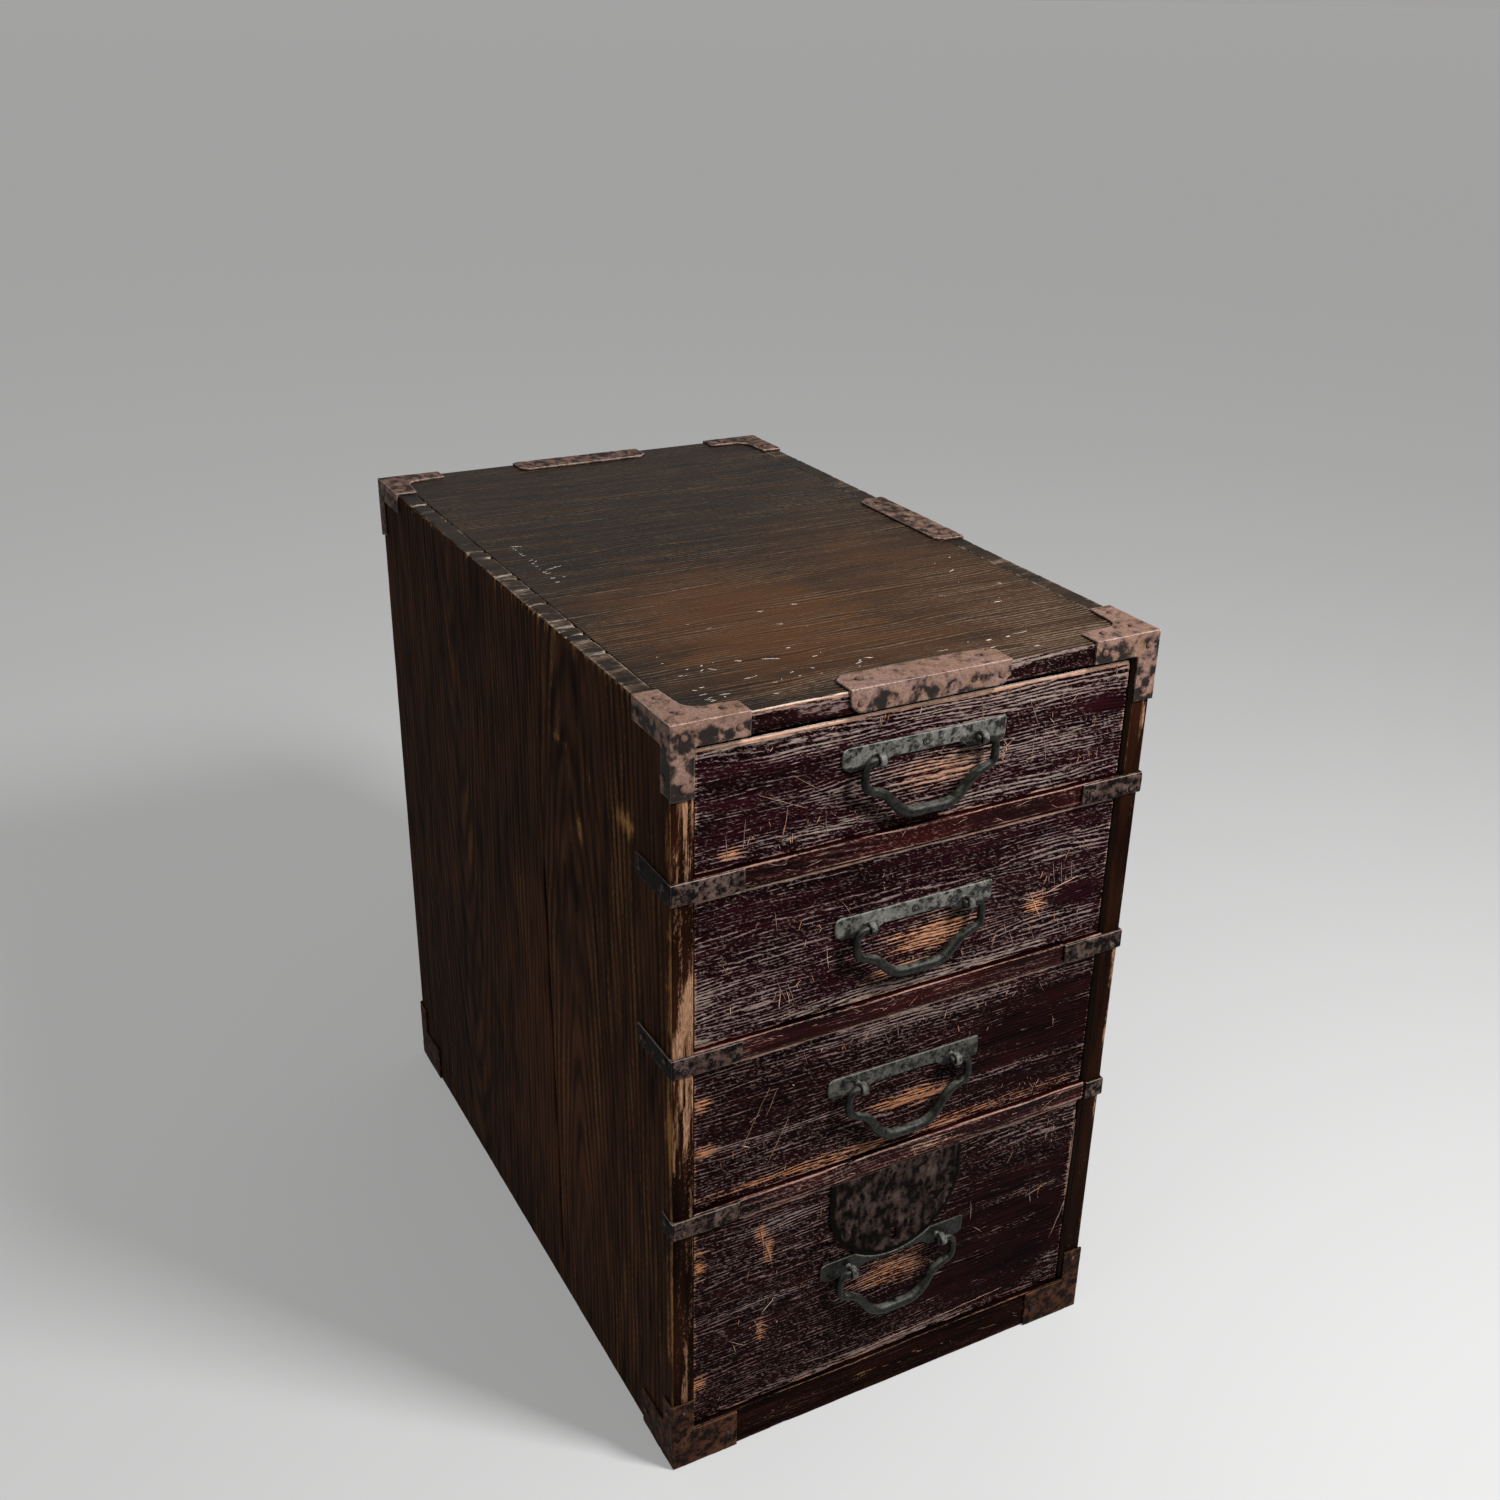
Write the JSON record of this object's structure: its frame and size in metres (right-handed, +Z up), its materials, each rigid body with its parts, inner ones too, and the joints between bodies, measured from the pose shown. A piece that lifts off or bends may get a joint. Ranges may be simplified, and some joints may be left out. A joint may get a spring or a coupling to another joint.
{
  "type": "chest of drawers",
  "caption": "Small old wooden chest of drawers bound with iron corner caps and straps, with drop-bail handles and a lock plate on its lowest drawer.",
  "frame": {"origin": "middle of the base, on the floor plane", "axes": "+Z up, +X to the right seen from the front, the drawers open towards -Y"},
  "size_m": [0.2898, 0.4661, 0.4674],
  "materials": {
    "side_wood": "worn dark lacquer over vertical grain",
    "top_wood": "rubbed dark lacquer, scratched",
    "rail_wood": "dark red-brown lacquer, worn at the edges",
    "front_wood": "near-black red lacquer worn through to raised grain",
    "inner_wood": "bare aged softwood",
    "back_wood": "plain aged boards",
    "corner_iron": "rusted sheet iron, matte",
    "strap_iron": "dark oxidised iron",
    "handle_iron": "grey-green patinated iron",
    "lock_iron": "pitted rusted iron"
  },
  "bodies": {
    "carcass": {"left_side": "side_wood", "right_side": "side_wood", "top_board": "top_wood", "bottom_board": "inner_wood", "bottom_rail": "rail_wood", "bottom_runners": "inner_wood", "back_boards": "back_wood", "rail_1": "rail_wood", "rail_2": "rail_wood", "rail_3": "rail_wood", "dust_board_1": "inner_wood", "dust_board_2": "inner_wood", "dust_board_3": "inner_wood", "top_iron_front_left": "corner_iron", "top_iron_front_right": "corner_iron", "top_iron_back_left": "corner_iron", "top_iron_back_right": "corner_iron", "foot_iron_front_left": "corner_iron", "foot_iron_front_right": "corner_iron", "foot_iron_back_left": "corner_iron", "foot_iron_back_right": "corner_iron", "edge_plates": "corner_iron", "left_straps": "strap_iron", "right_straps": "strap_iron", "iron_nails": "strap_iron"},
    "drawer_1": {"drawer_1_front": "front_wood", "drawer_1_left": "inner_wood", "drawer_1_right": "inner_wood", "drawer_1_back": "inner_wood", "drawer_1_bottom": "inner_wood", "handle_1_plate": "handle_iron", "handle_1_posts": "handle_iron"},
    "bail_1": {"handle_1_bail": "handle_iron"},
    "drawer_2": {"drawer_2_front": "front_wood", "drawer_2_left": "inner_wood", "drawer_2_right": "inner_wood", "drawer_2_back": "inner_wood", "drawer_2_bottom": "inner_wood", "handle_2_plate": "handle_iron", "handle_2_posts": "handle_iron"},
    "bail_2": {"handle_2_bail": "handle_iron"},
    "drawer_3": {"drawer_3_front": "front_wood", "drawer_3_left": "inner_wood", "drawer_3_right": "inner_wood", "drawer_3_back": "inner_wood", "drawer_3_bottom": "inner_wood", "handle_3_plate": "handle_iron", "handle_3_posts": "handle_iron"},
    "bail_3": {"handle_3_bail": "handle_iron"},
    "drawer_4": {"drawer_4_front": "front_wood", "drawer_4_left": "inner_wood", "drawer_4_right": "inner_wood", "drawer_4_back": "inner_wood", "drawer_4_bottom": "inner_wood", "handle_4_plate": "handle_iron", "handle_4_posts": "handle_iron", "lock_plate": "lock_iron", "lock_case": "lock_iron"},
    "bail_4": {"handle_4_bail": "handle_iron"},
    "lock_bolt": {"lock_bolt": "lock_iron"}
  },
  "joints": [
    {"name": "drawer_1_slide", "type": "slide", "parent": "carcass", "child": "drawer_1", "axis": [0, -1, 0], "range_m": [0, 0.28]},
    {"name": "bail_1_swing", "type": "hinge", "parent": "drawer_1", "child": "bail_1", "pos_m": [0, -0.232, 0.42765], "axis": [-1, 0, 0], "range_deg": [-4, 105]},
    {"name": "drawer_2_slide", "type": "slide", "parent": "carcass", "child": "drawer_2", "axis": [0, -1, 0], "range_m": [0, 0.28]},
    {"name": "bail_2_swing", "type": "hinge", "parent": "drawer_2", "child": "bail_2", "pos_m": [0, -0.232, 0.3314], "axis": [-1, 0, 0], "range_deg": [-4, 105]},
    {"name": "drawer_3_slide", "type": "slide", "parent": "carcass", "child": "drawer_3", "axis": [0, -1, 0], "range_m": [0, 0.28]},
    {"name": "bail_3_swing", "type": "hinge", "parent": "drawer_3", "child": "bail_3", "pos_m": [0, -0.232, 0.2308], "axis": [-1, 0, 0], "range_deg": [-4, 105]},
    {"name": "drawer_4_slide", "type": "slide", "parent": "carcass", "child": "drawer_4", "axis": [0, -1, 0], "range_m": [0, 0.28]},
    {"name": "bail_4_swing", "type": "hinge", "parent": "drawer_4", "child": "bail_4", "pos_m": [0, -0.232, 0.10255], "axis": [-1, 0, 0], "range_deg": [-4, 105]},
    {"name": "lock_bolt_slide", "type": "slide", "parent": "drawer_4", "child": "lock_bolt", "axis": [0, 0, 1], "range_m": [0, 0.007]}
  ]
}
